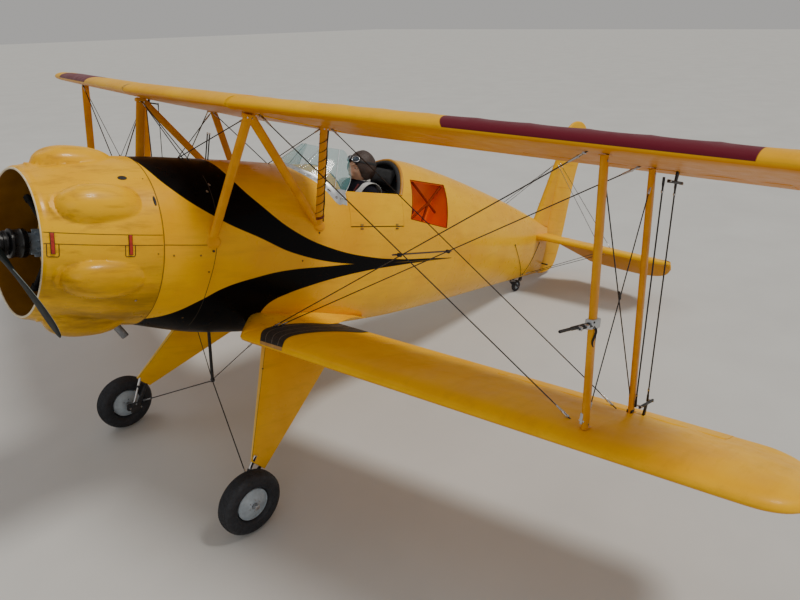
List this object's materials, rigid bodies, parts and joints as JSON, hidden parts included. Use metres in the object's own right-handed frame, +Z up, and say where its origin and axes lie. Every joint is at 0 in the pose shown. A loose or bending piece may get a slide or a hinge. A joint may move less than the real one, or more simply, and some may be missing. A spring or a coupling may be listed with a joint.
{
  "type": "radio-controlled model biplane",
  "caption": "Large radio-controlled model of a single-seat swept-wing biplane with a bulged radial-engine cowl, open cockpit, strut-braced wings and tailwheel gear.",
  "frame": {"origin": "on the ground under the middle of the model's length and span, as it stands on its three wheels", "axes": "+X along the ground toward the nose, +Y to the port wing tip, +Z up"},
  "size_m": [2.4138, 2.6394, 0.968],
  "materials": {
    "yellow": "gloss",
    "engine_grey": "satin",
    "hub_grey": "satin",
    "exhaust_steel": "satin",
    "blade_grey": "satin",
    "trim_black": "matte",
    "bust": "matte",
    "clear": "clear",
    "dark_metal": "satin",
    "stay_wire": "satin",
    "tyre": "matte"
  },
  "bodies": {
    "airframe": {"fuselage": "yellow", "cowl": "yellow", "engine": "engine_grey", "exhaust": "exhaust_steel", "upper_wing": "yellow", "fin": "yellow", "instrument_panel": "trim_black", "seat": "trim_black", "headrest": "trim_black", "pilot_bust": "bust", "windscreen": "clear", "tail_arm": "exhaust_steel", "pitot": "dark_metal", "lower_wing_left": "yellow", "lower_wing_right": "yellow", "root_fairing_left": "yellow", "root_fairing_right": "yellow", "strut_front_left": "yellow", "strut_front_right": "yellow", "strut_rear_left": "yellow", "strut_rear_right": "yellow", "cabane_left": "yellow", "cabane_right": "yellow", "landing_wire_front_left": "stay_wire", "landing_wire_front_right": "stay_wire", "landing_wire_rear_left": "stay_wire", "landing_wire_rear_right": "stay_wire", "flying_wire_front_left": "stay_wire", "flying_wire_front_right": "stay_wire", "flying_wire_rear_left": "stay_wire", "flying_wire_rear_right": "stay_wire", "spreader_left": "stay_wire", "spreader_right": "stay_wire", "gear_leg_left": "yellow", "gear_leg_right": "yellow", "axle_left": "dark_metal", "axle_right": "dark_metal", "stabilizer_left": "yellow", "stabilizer_right": "yellow"},
    "propeller": {"propeller": "blade_grey"},
    "door": {"cockpit_door": "yellow"},
    "rudder": {"rudder": "yellow"},
    "elevators": {"elevator_left": "yellow", "elevator_right": "yellow"},
    "tail_fork": {"tail_fork": "dark_metal"},
    "tail_wheel": {"tail_tyre": "tyre"},
    "wheel_left": {"tyre_left": "tyre", "hub_left": "hub_grey"},
    "aileron_lower_left": {"aileron_lower_left": "yellow"},
    "aileron_upper_left": {"aileron_upper_left": "yellow"},
    "rod_front_left": {"rod_front_left": "dark_metal"},
    "rod_rear_left": {"rod_rear_left": "dark_metal"},
    "wheel_right": {"tyre_right": "tyre", "hub_right": "hub_grey"},
    "aileron_lower_right": {"aileron_lower_right": "yellow"},
    "aileron_upper_right": {"aileron_upper_right": "yellow"},
    "rod_front_right": {"rod_front_right": "dark_metal"},
    "rod_rear_right": {"rod_rear_right": "dark_metal"}
  },
  "joints": [
    {"name": "propeller_spin", "type": "hinge", "parent": "airframe", "child": "propeller", "pos_m": [1.17998, 0, 0.71963], "axis": [0.9711, 0, 0.2385], "continuous": true},
    {"name": "door_fold", "type": "hinge", "parent": "airframe", "child": "door", "pos_m": [0.28449, 0.161, 0.56722], "axis": [-0.9711, 0, -0.2385], "range_deg": [0, 120]},
    {"name": "rudder_turn", "type": "hinge", "parent": "airframe", "child": "rudder", "pos_m": [-0.91527, 0, 0.19634], "axis": [-0.2385, 0, 0.9711], "range_deg": [-25, 25]},
    {"name": "elevator_tilt", "type": "hinge", "parent": "airframe", "child": "elevators", "pos_m": [-0.92439, 0, 0.19822], "axis": [0, 1, 0], "range_deg": [-10, 60]},
    {"name": "tail_steer", "type": "hinge", "parent": "airframe", "child": "tail_fork", "pos_m": [-0.67278, 0, 0.04584], "axis": [-0.2385, 0, 0.9711], "range_deg": [-25, 25]},
    {"name": "tail_wheel_spin", "type": "hinge", "parent": "tail_fork", "child": "tail_wheel", "pos_m": [-0.6985, 0, 0.0248], "axis": [0, 1, 0], "continuous": true},
    {"name": "wheel_spin_left", "type": "hinge", "parent": "airframe", "child": "wheel_left", "pos_m": [0.89687, 0.3174, 0.0788], "axis": [0, 1, 0], "continuous": true},
    {"name": "aileron_lower_left_tilt", "type": "hinge", "parent": "airframe", "child": "aileron_lower_left", "pos_m": [0.39986, 0.92, 0.35969], "axis": [-0.2111, 0.9772, -0.0211], "range_deg": [-18, 18]},
    {"name": "aileron_upper_left_tilt", "type": "hinge", "parent": "airframe", "child": "aileron_upper_left", "pos_m": [0.34882, 0.92, 0.8549], "axis": [-0.2091, 0.9775, -0.0292], "range_deg": [-18, 18]},
    {"name": "rod_front_left_pin", "type": "hinge", "parent": "aileron_lower_left", "child": "rod_front_left", "pos_m": [0.40671, 0.996, 0.39745], "axis": [-0.2111, 0.9772, -0.0211], "range_deg": [-18, 18]},
    {"name": "rod_rear_left_pin", "type": "hinge", "parent": "aileron_lower_left", "child": "rod_rear_left", "pos_m": [0.34509, 0.996, 0.38001], "axis": [-0.2111, 0.9772, -0.0211], "range_deg": [-18, 18]},
    {"name": "wheel_spin_right", "type": "hinge", "parent": "airframe", "child": "wheel_right", "pos_m": [0.89687, -0.3174, 0.0788], "axis": [0, 1, 0], "continuous": true},
    {"name": "aileron_lower_right_tilt", "type": "hinge", "parent": "airframe", "child": "aileron_lower_right", "pos_m": [0.39986, -0.92, 0.35969], "axis": [0.2111, 0.9772, 0.0211], "range_deg": [-18, 18]},
    {"name": "aileron_upper_right_tilt", "type": "hinge", "parent": "airframe", "child": "aileron_upper_right", "pos_m": [0.34882, -0.92, 0.8549], "axis": [0.2091, 0.9775, 0.0292], "range_deg": [-18, 18]},
    {"name": "rod_front_right_pin", "type": "hinge", "parent": "aileron_lower_right", "child": "rod_front_right", "pos_m": [0.40671, -0.996, 0.39745], "axis": [0.2111, 0.9772, 0.0211], "range_deg": [-18, 18]},
    {"name": "rod_rear_right_pin", "type": "hinge", "parent": "aileron_lower_right", "child": "rod_rear_right", "pos_m": [0.34509, -0.996, 0.38001], "axis": [0.2111, 0.9772, 0.0211], "range_deg": [-18, 18]}
  ],
  "couplings": [
    {"joint": "tail_steer", "follows": "rudder_turn", "ratio": 1},
    {"joint": "aileron_upper_left_tilt", "follows": "aileron_lower_left_tilt", "ratio": 1},
    {"joint": "rod_front_left_pin", "follows": "aileron_lower_left_tilt", "ratio": -1},
    {"joint": "rod_rear_left_pin", "follows": "aileron_lower_left_tilt", "ratio": -1},
    {"joint": "aileron_upper_right_tilt", "follows": "aileron_lower_right_tilt", "ratio": 1},
    {"joint": "rod_front_right_pin", "follows": "aileron_lower_right_tilt", "ratio": -1},
    {"joint": "rod_rear_right_pin", "follows": "aileron_lower_right_tilt", "ratio": -1}
  ]
}
